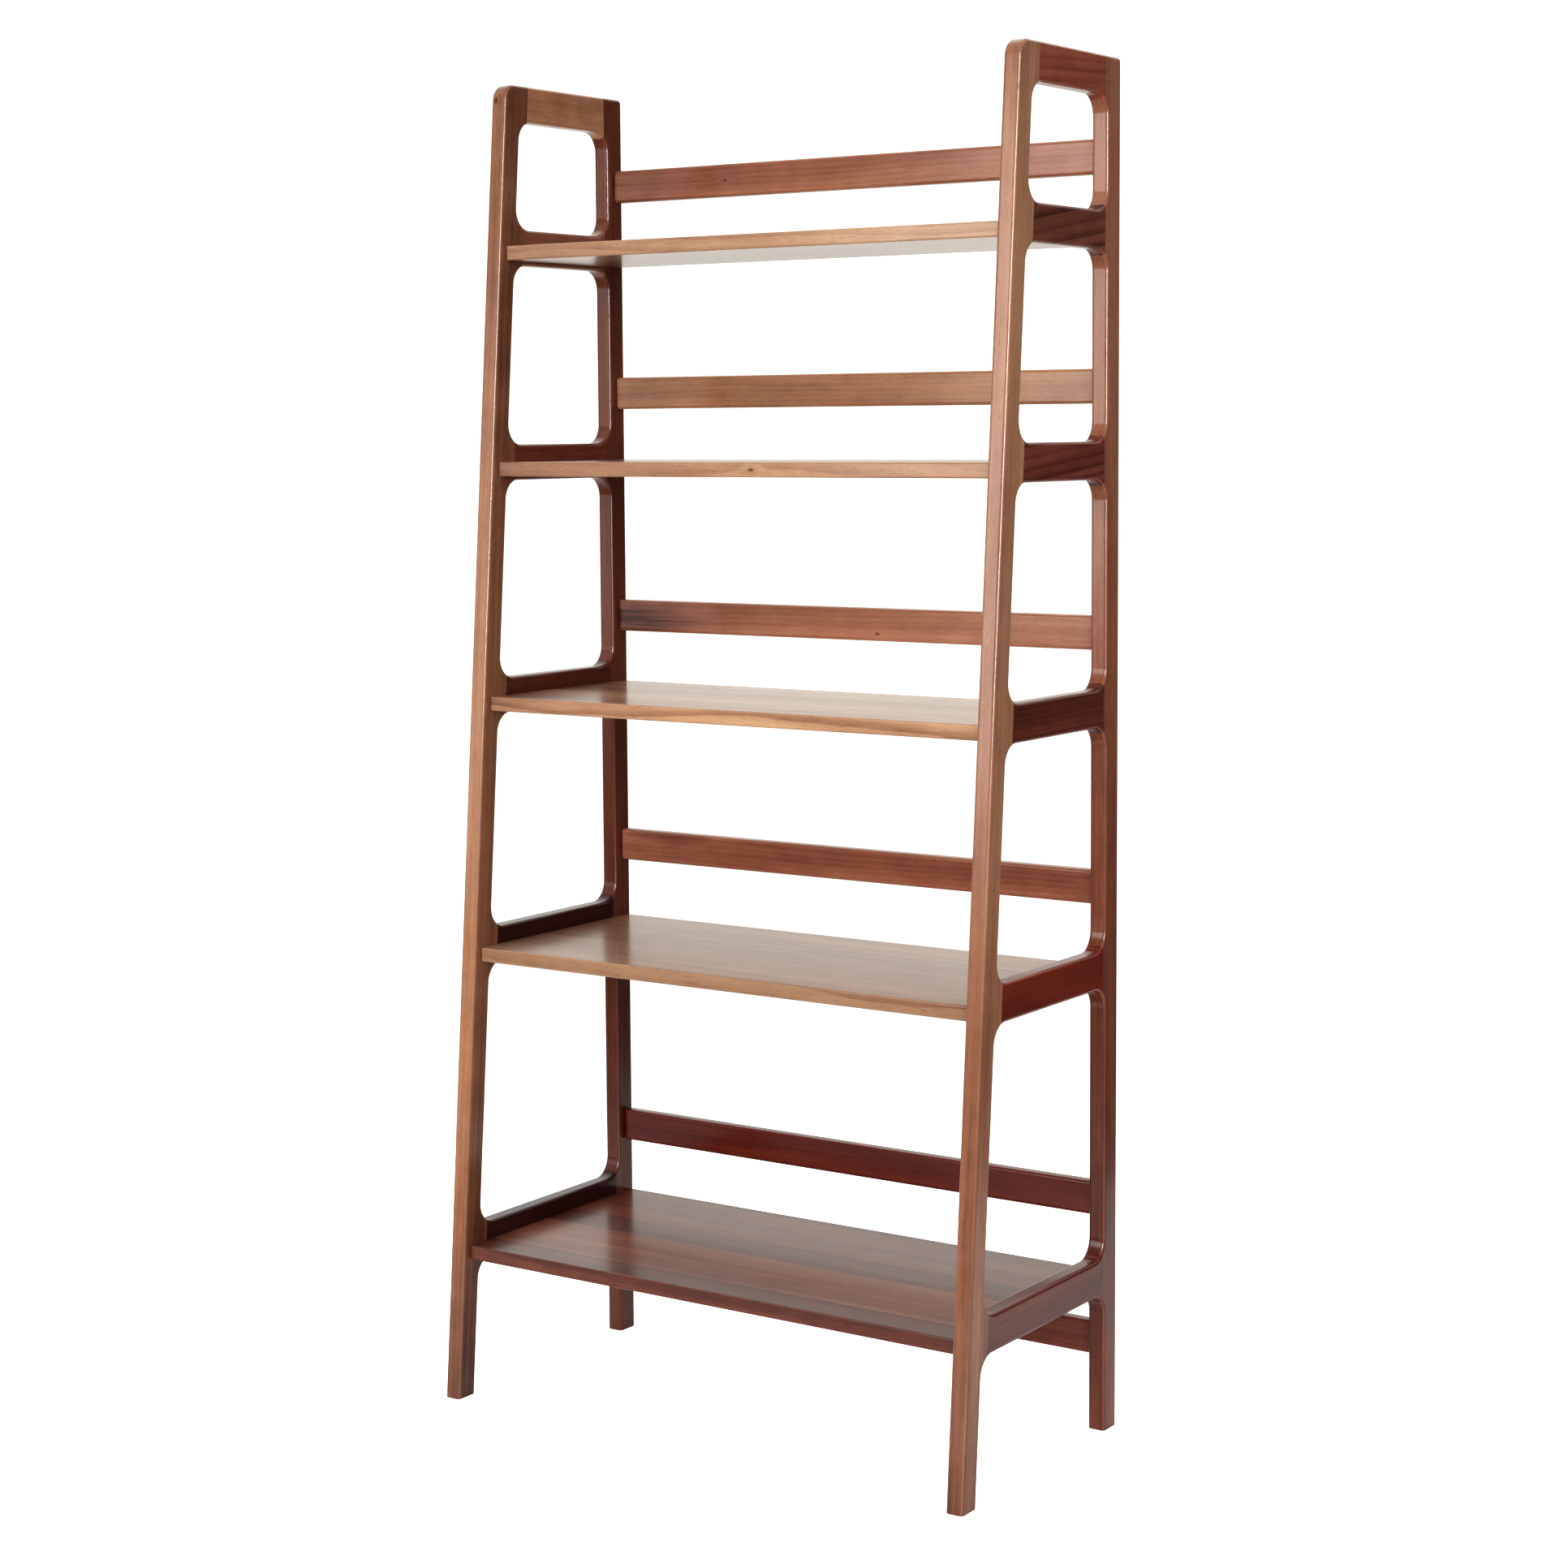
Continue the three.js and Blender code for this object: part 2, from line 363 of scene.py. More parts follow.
def raked_block(sizes, levels):
    """A side frame's outline as one block, scored along every leg and rail."""
    top = HIGH.z
    blank = box_piece("frame_blank", LOW, (LOW.x + sizes.frame_thick, HIGH.y, top))
    edit(blank)
    choose(blank, "VERT", lambda v: v.co.y < 0 and v.co.z > top - SMALL)
    bpy.ops.transform.translate(value=(0.0, sizes.rake * top, 0.0))
    for level in levels:
        slice_through((0.0, 0.0, level), (0.0, 0.0, 1.0))
    slice_through((0.0, leg_plane(sizes, 0.0), 0.0), (0.0, 1.0, -sizes.rake))
    slice_through((0.0, back_plane(sizes), 0.0), (0.0, 1.0, 0.0))
    return blank


def between_legs(sizes, face, low, high):
    """True if a face lies between the two legs and between two heights."""
    at = face.calc_center_median()
    return low < at.z < high and leg_plane(sizes, at.z) < at.y < back_plane(sizes)


def open_windows(blank, sizes):
    """Cuts the openings between the rails."""
    for low, high in window_heights(sizes):
        choose(
            blank, "FACE", lambda f: abs(f.normal.x) > FACING and between_legs(sizes, f, low, high)
        )
        bpy.ops.mesh.bridge_edge_loops()


def open_foot_gap(blank, sizes, low_rail):
    """Cuts the gap under the lowest rail and closes its three walls."""
    rear = back_plane(sizes)
    choose(
        blank,
        "FACE",
        lambda f: between_legs(sizes, f, -SMALL, low_rail)
        and (abs(f.normal.x) > FACING or f.normal.z < -FACING),
    )
    bpy.ops.mesh.delete(type="FACE")
    walls = (
        lambda at: abs(at.y - leg_plane(sizes, at.z)) < SMALL and at.z < low_rail,
        lambda at: abs(at.y - rear) < SMALL and at.z < low_rail,
        lambda at: abs(at.z - low_rail) < SMALL and leg_plane(sizes, low_rail) < at.y < rear,
    )
    for wall in walls:
        choose(
            blank, "EDGE", lambda e: wall(middle(e)) and e.is_boundary and not runs_along(e, 0)
        )
        bpy.ops.mesh.edge_face_add()


def clear_scoring(blank, sizes):
    """Dissolves the score lines, but keeps each leg divided at the middle of every window."""
    centres = [(low + high) / 2 for low, high in window_heights(sizes)]
    for centre in centres:
        slice_through((0.0, 0.0, centre), (0.0, 0.0, 1.0))

    def is_leftover(edge):
        flat = edge.link_faces[0].normal.dot(edge.link_faces[1].normal) > FLAT
        return flat and all(abs(middle(edge).z - centre) > SMALL for centre in centres)

    choose(blank, "EDGE", is_leftover)
    bpy.ops.mesh.dissolve_edges(use_verts=True)


def round_frame(blank, sizes, low_rail):
    """Rounds the windows' corners, the frame's top corners and then all long edges."""

    def corners(spots):
        return lambda e: runs_along(e, 0) and any(
            abs(middle(e).y - y) < SMALL and abs(middle(e).z - z) < SMALL for y, z in spots
        )

    lean = math.atan(sizes.rake)
    square = math.pi / 2
    windows = window_heights(sizes)
    undersides = [high for _, high in windows] + [low_rail]
    tops = [low for low, _ in windows]
    rear_leg = back_plane(sizes)
    roundings = (
        ([(leg_plane(sizes, z), z) for z in undersides], square + lean, sizes.window_radius, WIDE_STEPS),
        ([(leg_plane(sizes, z), z) for z in tops], square - lean, sizes.window_radius, WIDE_STEPS),
        ([(rear_leg, z) for z in undersides + tops], square, sizes.window_radius, WIDE_STEPS),
        ([(front_face(sizes, HIGH.z), HIGH.z)], square + lean, sizes.top_front_radius, WIDE_STEPS),
        ([(HIGH.y, HIGH.z)], square, sizes.top_rear_radius, NARROW_STEPS),
    )
    for spots, angle, radius, segments in roundings:
        round_edges(blank, corners(spots), corner_reach(radius, angle), segments)

    def is_arris(edge):
        across = sorted(abs(f.normal.x) for f in edge.link_faces)
        on_floor = all(v.co.z < SMALL for v in edge.verts)
        return len(across) == 2 and across[0] < 0.5 and across[1] > FACING and not on_floor

    round_edges(blank, is_arris, sizes.arris, NARROW_STEPS)


def frame_blank(sizes):
    """One whole side frame, before it is cut into legs and rails."""
    marks = {z for top in RAIL_TOPS for z in (top, top - sizes.rail_height)}
    levels = sorted(z for z in marks if z < HIGH.z - SMALL)
    blank = raked_block(sizes, levels)
    open_windows(blank, sizes)
    open_foot_gap(blank, sizes, levels[0])
    clear_scoring(blank, sizes)
    round_frame(blank, sizes, levels[0])
    done()
    return blank


def cut_out(source, name, planes):
    """A copy of a blank, sawn off along each plane on the side its normal points to."""
    piece = copy_piece(source, name)
    edit(piece)
    for point, normal in planes:
        slice_through(point, normal, clear=True)
    done()
    return piece


def front_joint(sizes):
    """The raked plane where the side rails meet the front legs' stubs."""
    depth = leg_plane(sizes, 0.0) + sizes.front_stub
    return Vector((0.0, depth, 0.0)), Vector((0.0, 1.0, -sizes.rake)).normalized()


def back_joint(sizes):
    """The upright plane where the side rails meet the back legs' stubs."""
    return Vector((0.0, back_plane(sizes) - sizes.back_stub, 0.0)), Vector((0.0, 1.0, 0.0))


def tongue(*spans):
    """A block from its three spans, each given in either order."""
    return box_piece("tongue", [min(span) for span in spans], [max(span) for span in spans])


def tenon(sizes, rail_top, end, grow):
    """A side rail's tenon at one end or, grown by a clearance, the mortise for it."""
    level = rail_top - sizes.rail_height / 2
    centre = LOW.x + sizes.frame_thick / 2
    if end == "front":
        joint, outward = front_joint(sizes)[0].y + sizes.rake * level, -1
    else:
        joint, outward = back_joint(sizes)[0].y, 1
    near, far = joint - outward * TENON_ROOT, joint + outward * (TENON.y + grow)
    thick, tall = TENON.x / 2 + grow, TENON.z / 2 + grow
    return tongue((centre - thick, centre + thick), (near, far), (level - tall, level + tall))


def stub_tenon(sizes, rail_box, side, grow):
    """A back rail's stub tenon on one side or, grown by a clearance, the mortise for it."""
    inner = HIGH.x - sizes.frame_thick
    depth = (rail_box[0].y + rail_box[1].y) / 2
    level = (rail_box[0].z + rail_box[1].z) / 2
    near, far = side * (inner - TENON_ROOT), side * (inner + STUB.x + grow)
    thick, tall = STUB.y / 2 + grow, STUB.z / 2 + grow
    return tongue((near, far), (depth - thick, depth + thick), (level - tall, level + tall))


def dowel_bore(number, side, end):
    """The bore that a dowel sits in, half in the board and half in the rail."""
    low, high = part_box(f"dowel_{number}_{side}_{end}")
    centre = (low + high) / 2
    ends = low.x - CLEARANCE, high.x + CLEARANCE
    return bar_piece("bore", DOWEL_BORE, *ends, centre.y, centre.z)


def cut_legs(sizes):
    """Front and back legs of both side frames, with mortises for every rail."""
    blank = frame_blank(sizes)
    rear_point, rearward = back_joint(sizes)
    legs = {
        "front": cut_out(blank, "left_front_leg_fine", [front_joint(sizes)]),
        "back": cut_out(blank, "left_back_leg_fine", [(rear_point, -rearward)]),
    }
    drop(blank)
    for end, leg in legs.items():
        for rail_top in RAIL_TOPS:
            combine(leg, tenon(sizes, rail_top, end, CLEARANCE), "DIFFERENCE")
    for rail_box in BACK_RAIL_BOXES:
        combine(legs["back"], stub_tenon(sizes, rail_box, -1, CLEARANCE), "DIFFERENCE")
    for end, leg in legs.items():
        twin = mirror_piece(leg, f"right_{end}_leg_fine")
        for side, piece in (("left", leg), ("right", twin)):
            finish_surface(piece)
            place(piece, f"{side}_{end}_leg", "walnut_leg")


def cut_side_rails(sizes):
    """Top rails and side rails of both side frames, with tenons and dowel bores."""
    blank = frame_blank(sizes)
    front, back = front_joint(sizes), back_joint(sizes)
    gap = Vector((0.0, sizes.seam, 0.0))
    up = Vector((0.0, 0.0, 1.0))
    for i, rail_top in enumerate(RAIL_TOPS):
        name = f"side_rail_{i}" if i else "top_rail"
        planes = [
            (front[0] + gap, -front[1]),
            (back[0] - gap, back[1]),
            (up * (rail_top + SAW_ROOM), up),
            (up * (rail_top - sizes.rail_height - SAW_ROOM), -up),
        ]
        rail = cut_out(blank, f"left_{name}_fine", planes)
        combine(rail, tenon(sizes, rail_top, "front", 0.0), "UNION")
        combine(rail, tenon(sizes, rail_top, "back", 0.0), "UNION")
        if i:
            for end in DOWEL_ENDS:
                combine(rail, dowel_bore(i, "left", end), "DIFFERENCE")
        twin = mirror_piece(rail, f"right_{name}_fine")
        for side, piece in (("left", rail), ("right", twin)):
            finish_surface(piece)
            place(piece, f"{side}_{name}", "walnut_rail")
    drop(blank)


# ---- boards, back rails, dowels


def rounded_board(name, low, high, flat_axis, corner, edge):
    """A board with rounded corners in its own plane and rounded long edges."""
    piece = box_piece(name, low, high)
    edit(piece)
    round_edges(piece, lambda e: runs_along(e, flat_axis), corner, NARROW_STEPS)

    def is_rim(line):
        return sorted(abs(f.normal[flat_axis]) > FACING for f in line.link_faces) == [False, True]

    round_edges(piece, is_rim, edge, EDGE_STEPS)
    done()
    return piece


def shape_boards(sizes):
    """The five shelf boards, with blind bores for their dowels."""
    for number, (low, high) in enumerate(SHELF_BOXES, start=1):
        corner, edge = sizes.board_corner, sizes.board_edge
        board = rounded_board(f"shelf_{number}_fine", low, high, 2, corner, edge)
        for side in SIDES:
            for end in DOWEL_ENDS:
                combine(board, dowel_bore(number, side, end), "DIFFERENCE")
        finish_surface(board)
        place(board, f"shelf_{number}", "walnut_shelf")


def shape_back_rails(sizes):
    """The six back rails: one is shaped, and each is a copy of it."""
    low, high = BACK_RAIL_BOXES[0]
    reach = HIGH.x - sizes.frame_thick - CLEARANCE
    corner, edge = sizes.back_rail_corner, sizes.back_rail_edge
    ends = (-reach, low.y, low.z), (reach, high.y, high.z)
    first = rounded_board("back_rail_1_fine", *ends, 1, corner, edge)
    for side in (-1, 1):
        combine(first, stub_tenon(sizes, BACK_RAIL_BOXES[0], side, 0.0), "UNION")
    finish_surface(first)
    for number, rail_box in enumerate(BACK_RAIL_BOXES, start=1):
        rail = first if number == 1 else copy_piece(first, f"back_rail_{number}_fine")
        rail.location.z = rail_box[0].z - low.z
        settle(rail)
        place(rail, f"back_rail_{number}", "walnut_rail")


def turn_dowels(sizes):
    """Fluted beech dowels with chamfered ends: one is made, and each is a copy of it."""
    low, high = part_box("dowel_1_left_front")
    centre = (low + high) / 2
    first = bar_piece(
        "dowel_fine", sizes.dowel_radius, low.x, high.x, centre.y, centre.z, sides=FLUTE_SIDES
    )
    edit(first)

    def in_flute(vert):
        turn = math.atan2(vert.co.z - centre.z, vert.co.y - centre.y) / math.tau * FLUTE_SIDES
        return round(turn) % 2 == 1

    choose(first, "VERT", in_flute)
    bpy.ops.transform.resize(value=(1.0, FLUTE_DEPTH, FLUTE_DEPTH), center_override=centre)
    round_edges(first, lambda e: not runs_along(e, 0), DOWEL_CHAMFER, 1)
    done()
    pick(first)
    bpy.ops.object.shade_smooth_by_angle(angle=math.radians(20))
    for number in range(1, 6):
        for side in SIDES:
            for end in DOWEL_ENDS:
                node = f"dowel_{number}_{side}_{end}"
                dowel = copy_piece(first, f"{node}_fine")
                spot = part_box(node)
                dowel.location = (spot[0] + spot[1]) / 2 - centre
                settle(dowel)
                place(dowel, node, "beech_dowel")
    drop(first)


# ---- finishes


class Recipe:
    """The nodes of a material or of the surroundings, added and linked one after another."""

    def __init__(self, owner):
        owner.use_nodes = True
        self.owner = owner
        self.nodes = owner.node_tree.nodes
        self.links = owner.node_tree.links
        self.nodes.clear()
        self.count = 0

    def add(self, kind, inputs=(), **settings):
        """Adds a node, sets it, and feeds its inputs from sockets or plain values."""
        node = self.nodes.new(kind)
        node.location = (180 * (self.count // 4), -220 * (self.count % 4))
        self.count += 1
        for key, value in settings.items():
            setattr(node, key, value)
        for key, value in dict(inputs).items():
            if isinstance(value, bpy.types.NodeSocket):
                self.links.new(value, node.inputs[key])
            else:
                node.inputs[key].default_value = value
        return node

    def math(self, operation, *values, clamp=False):
        """A math node's result."""
        node = self.add("ShaderNodeMath", dict(enumerate(values)), operation=operation)
        node.use_clamp = clamp
        return node.outputs[0]

    def vector(self, operation, *values):
        """A vector math node's result."""
        node = self.add("ShaderNodeVectorMath", dict(enumerate(values)), operation=operation)
        return node.outputs["Value" if operation in ("LENGTH", "DOT_PRODUCT") else "Vector"]

    def noise(self, place, stretch, detail=2.0, rough=0.5):
        """Noise stretched along the grain: its value and its colour."""
        spot = self.vector("MULTIPLY", place, stretch)
        settings = {"Vector": spot, "Scale": 1.0, "Detail": detail, "Roughness": rough}
        node = self.add("ShaderNodeTexNoise", settings)
        return node.outputs["Fac"], node.outputs["Color"]

    def dice(self, draw):
        """One random value and colour for each number drawn."""
        return self.add("ShaderNodeTexWhiteNoise", {"W": draw}, noise_dimensions="1D").outputs

    def centred(self, pattern):
        """A pattern from 0 to 1 moved to run from -0.5 to 0.5."""
        return self.math("SUBTRACT", pattern, 0.5)

    def axis(self, place, letter):
        """One coordinate of a place."""
        return self.add("ShaderNodeSeparateXYZ", {"Vector": place}).outputs[letter]

    def fade(self, value, low, high, to_low=0.0, to_high=1.0, curve="SMOOTHSTEP"):
        """A smooth or straight step from one value to another."""
        node = self.add(
            "ShaderNodeMapRange",
            {"Value": value, "From Min": low, "From Max": high, "To Min": to_low, "To Max": to_high},
            interpolation_type=curve,
        )
        return node.outputs["Result"]

    def ramp(self, value, stops):
        """Colours spread over a value from 0 to 1."""
        node = self.add("ShaderNodeValToRGB", {"Fac": value})
        ramp = node.color_ramp
        while len(ramp.elements) < len(stops):
            ramp.elements.new(0.5)
        for element, (position, shade) in zip(ramp.elements, stops):
            element.position = position
            element.color = (*shade, 1.0)
        return node.outputs["Color"]

    def mix(self, amount, first, second):
        """Two colours mixed."""
        inputs = {0: amount, 6: first, 7: second}
        return self.add("ShaderNodeMix", inputs, data_type="RGBA").outputs[2]

    def surface(self, shader, output="ShaderNodeOutputMaterial"):
        """Links the shader to the output."""
        self.add(output, {"Surface": shader.outputs[0]})
        return self.owner


def scaled(shade, amount, cast=(1.0, 1.0, 1.0)):
    """A colour made lighter or darker, and tinted by a cast."""
    return tuple(min(channel * amount * part, 1.0) for channel, part in zip(shade, cast))


@dataclass
class Plank:
    """The piece of timber that a member is sawn from."""

    tone: str  # which of the walnuts: honey, russet or umber
    light: float = 1.0  # lighter or darker than that walnut; on the lower left side rails also painted shade
    cast: tuple = (1.0, 1.0, 1.0)  # its tint beside that walnut; on the lower left side rails also painted shade
    ring: float = 0.007  # spacing of the growth rings
    vein: float = 0.12  # darkness of the ring lines
    band: float = 0.2  # strength of the broad colour bands
    curl: float = 0.25  # strength of the mottle across the grain
    streak: float = 0.35  # strength of the fine streaks along the grain
    pith: tuple = (0.02, 0.07)  # where the heart of the tree lay, across the grain
    warp: float = 0.02  # waviness of the grain
    tilt: float = 0.0  # how far the grain runs off the member's length
    strips: int = 0  # glued-up strips across a board
    contrast: float = 0.3  # how much the strips differ
    behind: float = 0.0  # painted shade: how much darker the faces behind the front face are painted, painted light where negative
    knots: tuple = ()  # where knots show: place and radius
    heart: tuple = ()  # where dark striped heartwood shows: place and reach
    drift: tuple = ()  # lighter or darker from one end to the other, in even steps


PLANKS = {
    # The front legs' behind values are painted shade on the faces behind the front face: darker on the
    # left leg, and painted light on the right leg, where it is negative.
    "left_front_leg": Plank(
        "honey", 0.90, (1.04, 0.96, 0.92), pith=(0.05, 0.06), behind=0.22,
        knots=((-0.4123, -0.0614, 1.8075, 0.0035),), drift=(-0.8, 0.05, 0.15, 0.15, 0.1, -0.25),
    ),
    "left_back_leg": Plank(
        "russet", 0.68, (1.06, 0.87, 0.86), pith=(-0.04, 0.05),
        knots=((-0.3955, 0.1713, 1.1394, 0.003),), drift=(-0.1, -0.4, -0.3, 0.0, 0.15, 0.0),
    ),
    "right_front_leg": Plank(
        "honey", 0.97, (1.00, 0.91, 0.91), pith=(0.04, -0.05), behind=-0.12,
        knots=((0.4190, -0.0640, 1.7698, 0.003), (0.4200, -0.1042, 1.2731, 0.003)),
        drift=(-0.95, -0.5, -0.1, 0.15, 0.45, 0.05),
    ),
    "right_back_leg": Plank(
        "russet", 1.17, pith=(-0.05, -0.05), knots=((0.4205, 0.1709, 1.389, 0.003),),
        drift=(-0.35, -0.6, -0.25, 0.45, 0.8, 0.6),
    ),
    "left_top_rail": Plank("honey", 1.35, curl=0.4, vein=0.05, band=0.1),
    "left_side_rail_1": Plank("russet", 1.6, (0.94, 1.15, 1.30)),
    "left_side_rail_2": Plank("russet", 0.8, (1.17, 0.90, 0.82)),
    "left_side_rail_3": Plank("umber", 0.7),
    # Lower left side rails: dark walnut, painted darker and redder still as painted shade under the
    # lower boards.
    "left_side_rail_4": Plank("umber", 0.35, (0.85, 0.30, 0.50)),
    "left_side_rail_5": Plank("umber", 0.35, (0.85, 0.30, 0.50)),
    "right_top_rail": Plank("russet", 1.25, (1.20, 0.92, 1.00), vein=0.2, ring=0.012, tilt=-0.06),
    "right_side_rail_1": Plank(
        "russet", 1.0, (1.05, 1.02, 1.12), vein=0.45, ring=0.015, warp=0.035, tilt=-0.14,
    ),
    "right_side_rail_2": Plank(
        "umber", 1.5, (1.00, 1.15, 1.35), vein=0.35, ring=0.013, warp=0.030, tilt=-0.12,
    ),
    "right_side_rail_3": Plank("umber", 1.0, vein=0.2),
    "right_side_rail_4": Plank(
        "umber", 1.25, (1.25, 0.78, 0.42), knots=((0.4205, 0.1038, 0.6547, 0.003),),
    ),
    "right_side_rail_5": Plank("umber", 1.0, (0.96, 0.86, 0.76)),
    "shelf_1": Plank(
        "honey", 1.15, (0.92, 0.97, 0.98), strips=4, vein=0.35, pith=(0.03, 0.06), warp=0.03,
        drift=(-0.2, 0.0, 0.3, 0.7, 0.7),
    ),
    "shelf_2": Plank(
        "honey", 0.98, strips=4, vein=0.30, pith=(0.03, 0.06), warp=0.03,
        knots=((0.0326, -0.0904, 1.298, 0.003),), drift=(-0.2, 0.1, 0.4, 0.5, 0.3),
    ),
    "shelf_3": Plank(
        "honey", 1.3, (0.94, 1.01, 1.01), strips=5, vein=0.35, pith=(0.03, 0.06), warp=0.03,
        drift=(-0.3, 0.2, 0.6, 0.5, 0.5),
    ),
    "shelf_4": Plank(
        "honey", 0.88, (0.94, 1.00, 1.03), strips=5, vein=0.25, pith=(0.03, 0.06),
        drift=(0.0, 0.1, 0.2, 0.3, 0.3),
    ),
    "shelf_5": Plank(
        "russet", 1.0, (1.00, 0.95, 0.92), strips=5, contrast=0.9, vein=0.14, pith=(0.03, 0.06),
        streak=0.2,
    ),
    "back_rail_1": Plank(
        "russet", 1.45, (0.97, 1.06, 1.04), vein=0.15, knots=((-0.1968, 0.183, 1.703, 0.0025),),
        drift=(-0.15, 0.05, 0.2, 0.4, 0.5),
    ),
    "back_rail_2": Plank("honey", 1.05, (1.05, 1.02, 0.90)),
    "back_rail_3": Plank(
        "honey", 1.0, (1.06, 0.91, 0.92), knots=((0.056, 0.183, 1.0665, 0.0025),),
        heart=((-0.385, 0.183, 1.065, 0.035),), drift=(-0.7, -0.2, 0.0, 0.1, 0.1, 0.1),
    ),
    "back_rail_4": Plank("russet", 1.45, (1.02, 1.10, 1.18), heart=((-0.30, 0.183, 0.762, 0.02),)),
    "back_rail_5": Plank("umber", 0.85, (1.12, 0.62, 0.45)),
    "back_rail_6": Plank("umber", 1.3),
}


def plank_colours(plank):
    """A plank's four colours: vein, dark, middle and light."""
    colours = bpy.context.scene.ladder_colours
    parts = [getattr(colours, f"{plank.tone}_{part}") for part in ("vein", "dark", "middle", "light")]
    return [scaled(part, plank.light, plank.cast) for part in parts]


# How often each pattern repeats in a metre: along the grain, then across it both ways.
WAVES = (1.7, 7.0, 7.0)
CLOUDS = (1.8, 20.0, 20.0)
STREAKS = (4.0, 75.0, 75.0)
HEART_STRIPES = (6.0, 260.0, 260.0)
RAGGED_RINGS = (14.0, 160.0, 160.0)
FIBRES = (16.0, 420.0, 420.0)
MOTTLE = (26.0, 34.0, 34.0)
PORES = (70.0, 1900.0, 1900.0)
BANDS = 70.0

CLOUD_STRENGTH = 0.8
FIBRE_STRENGTH = 0.22
HEART_STRENGTH = 0.36
RAGGEDNESS = 0.0016
TONE_STOPS = (0.0, 0.3, 0.62, 1.0)  # where vein, dark, middle and light lie
LATE_START, LATE_END = 0.35, 0.93  # the part of a year in which a ring darkens
GLUED_WIDTH = 0.31
STRIP_ORIGIN = 0.2
STRIP_SPREAD = (9.0, 0.06, 0.03)
SEAM_LOW, SEAM_HIGH = 0.0001, 0.0006
# depth behind the front face over which the painted shade on the side faces sets in
FRONT_SKIN_LOW, FRONT_SKIN_HIGH = 0.002, 0.008


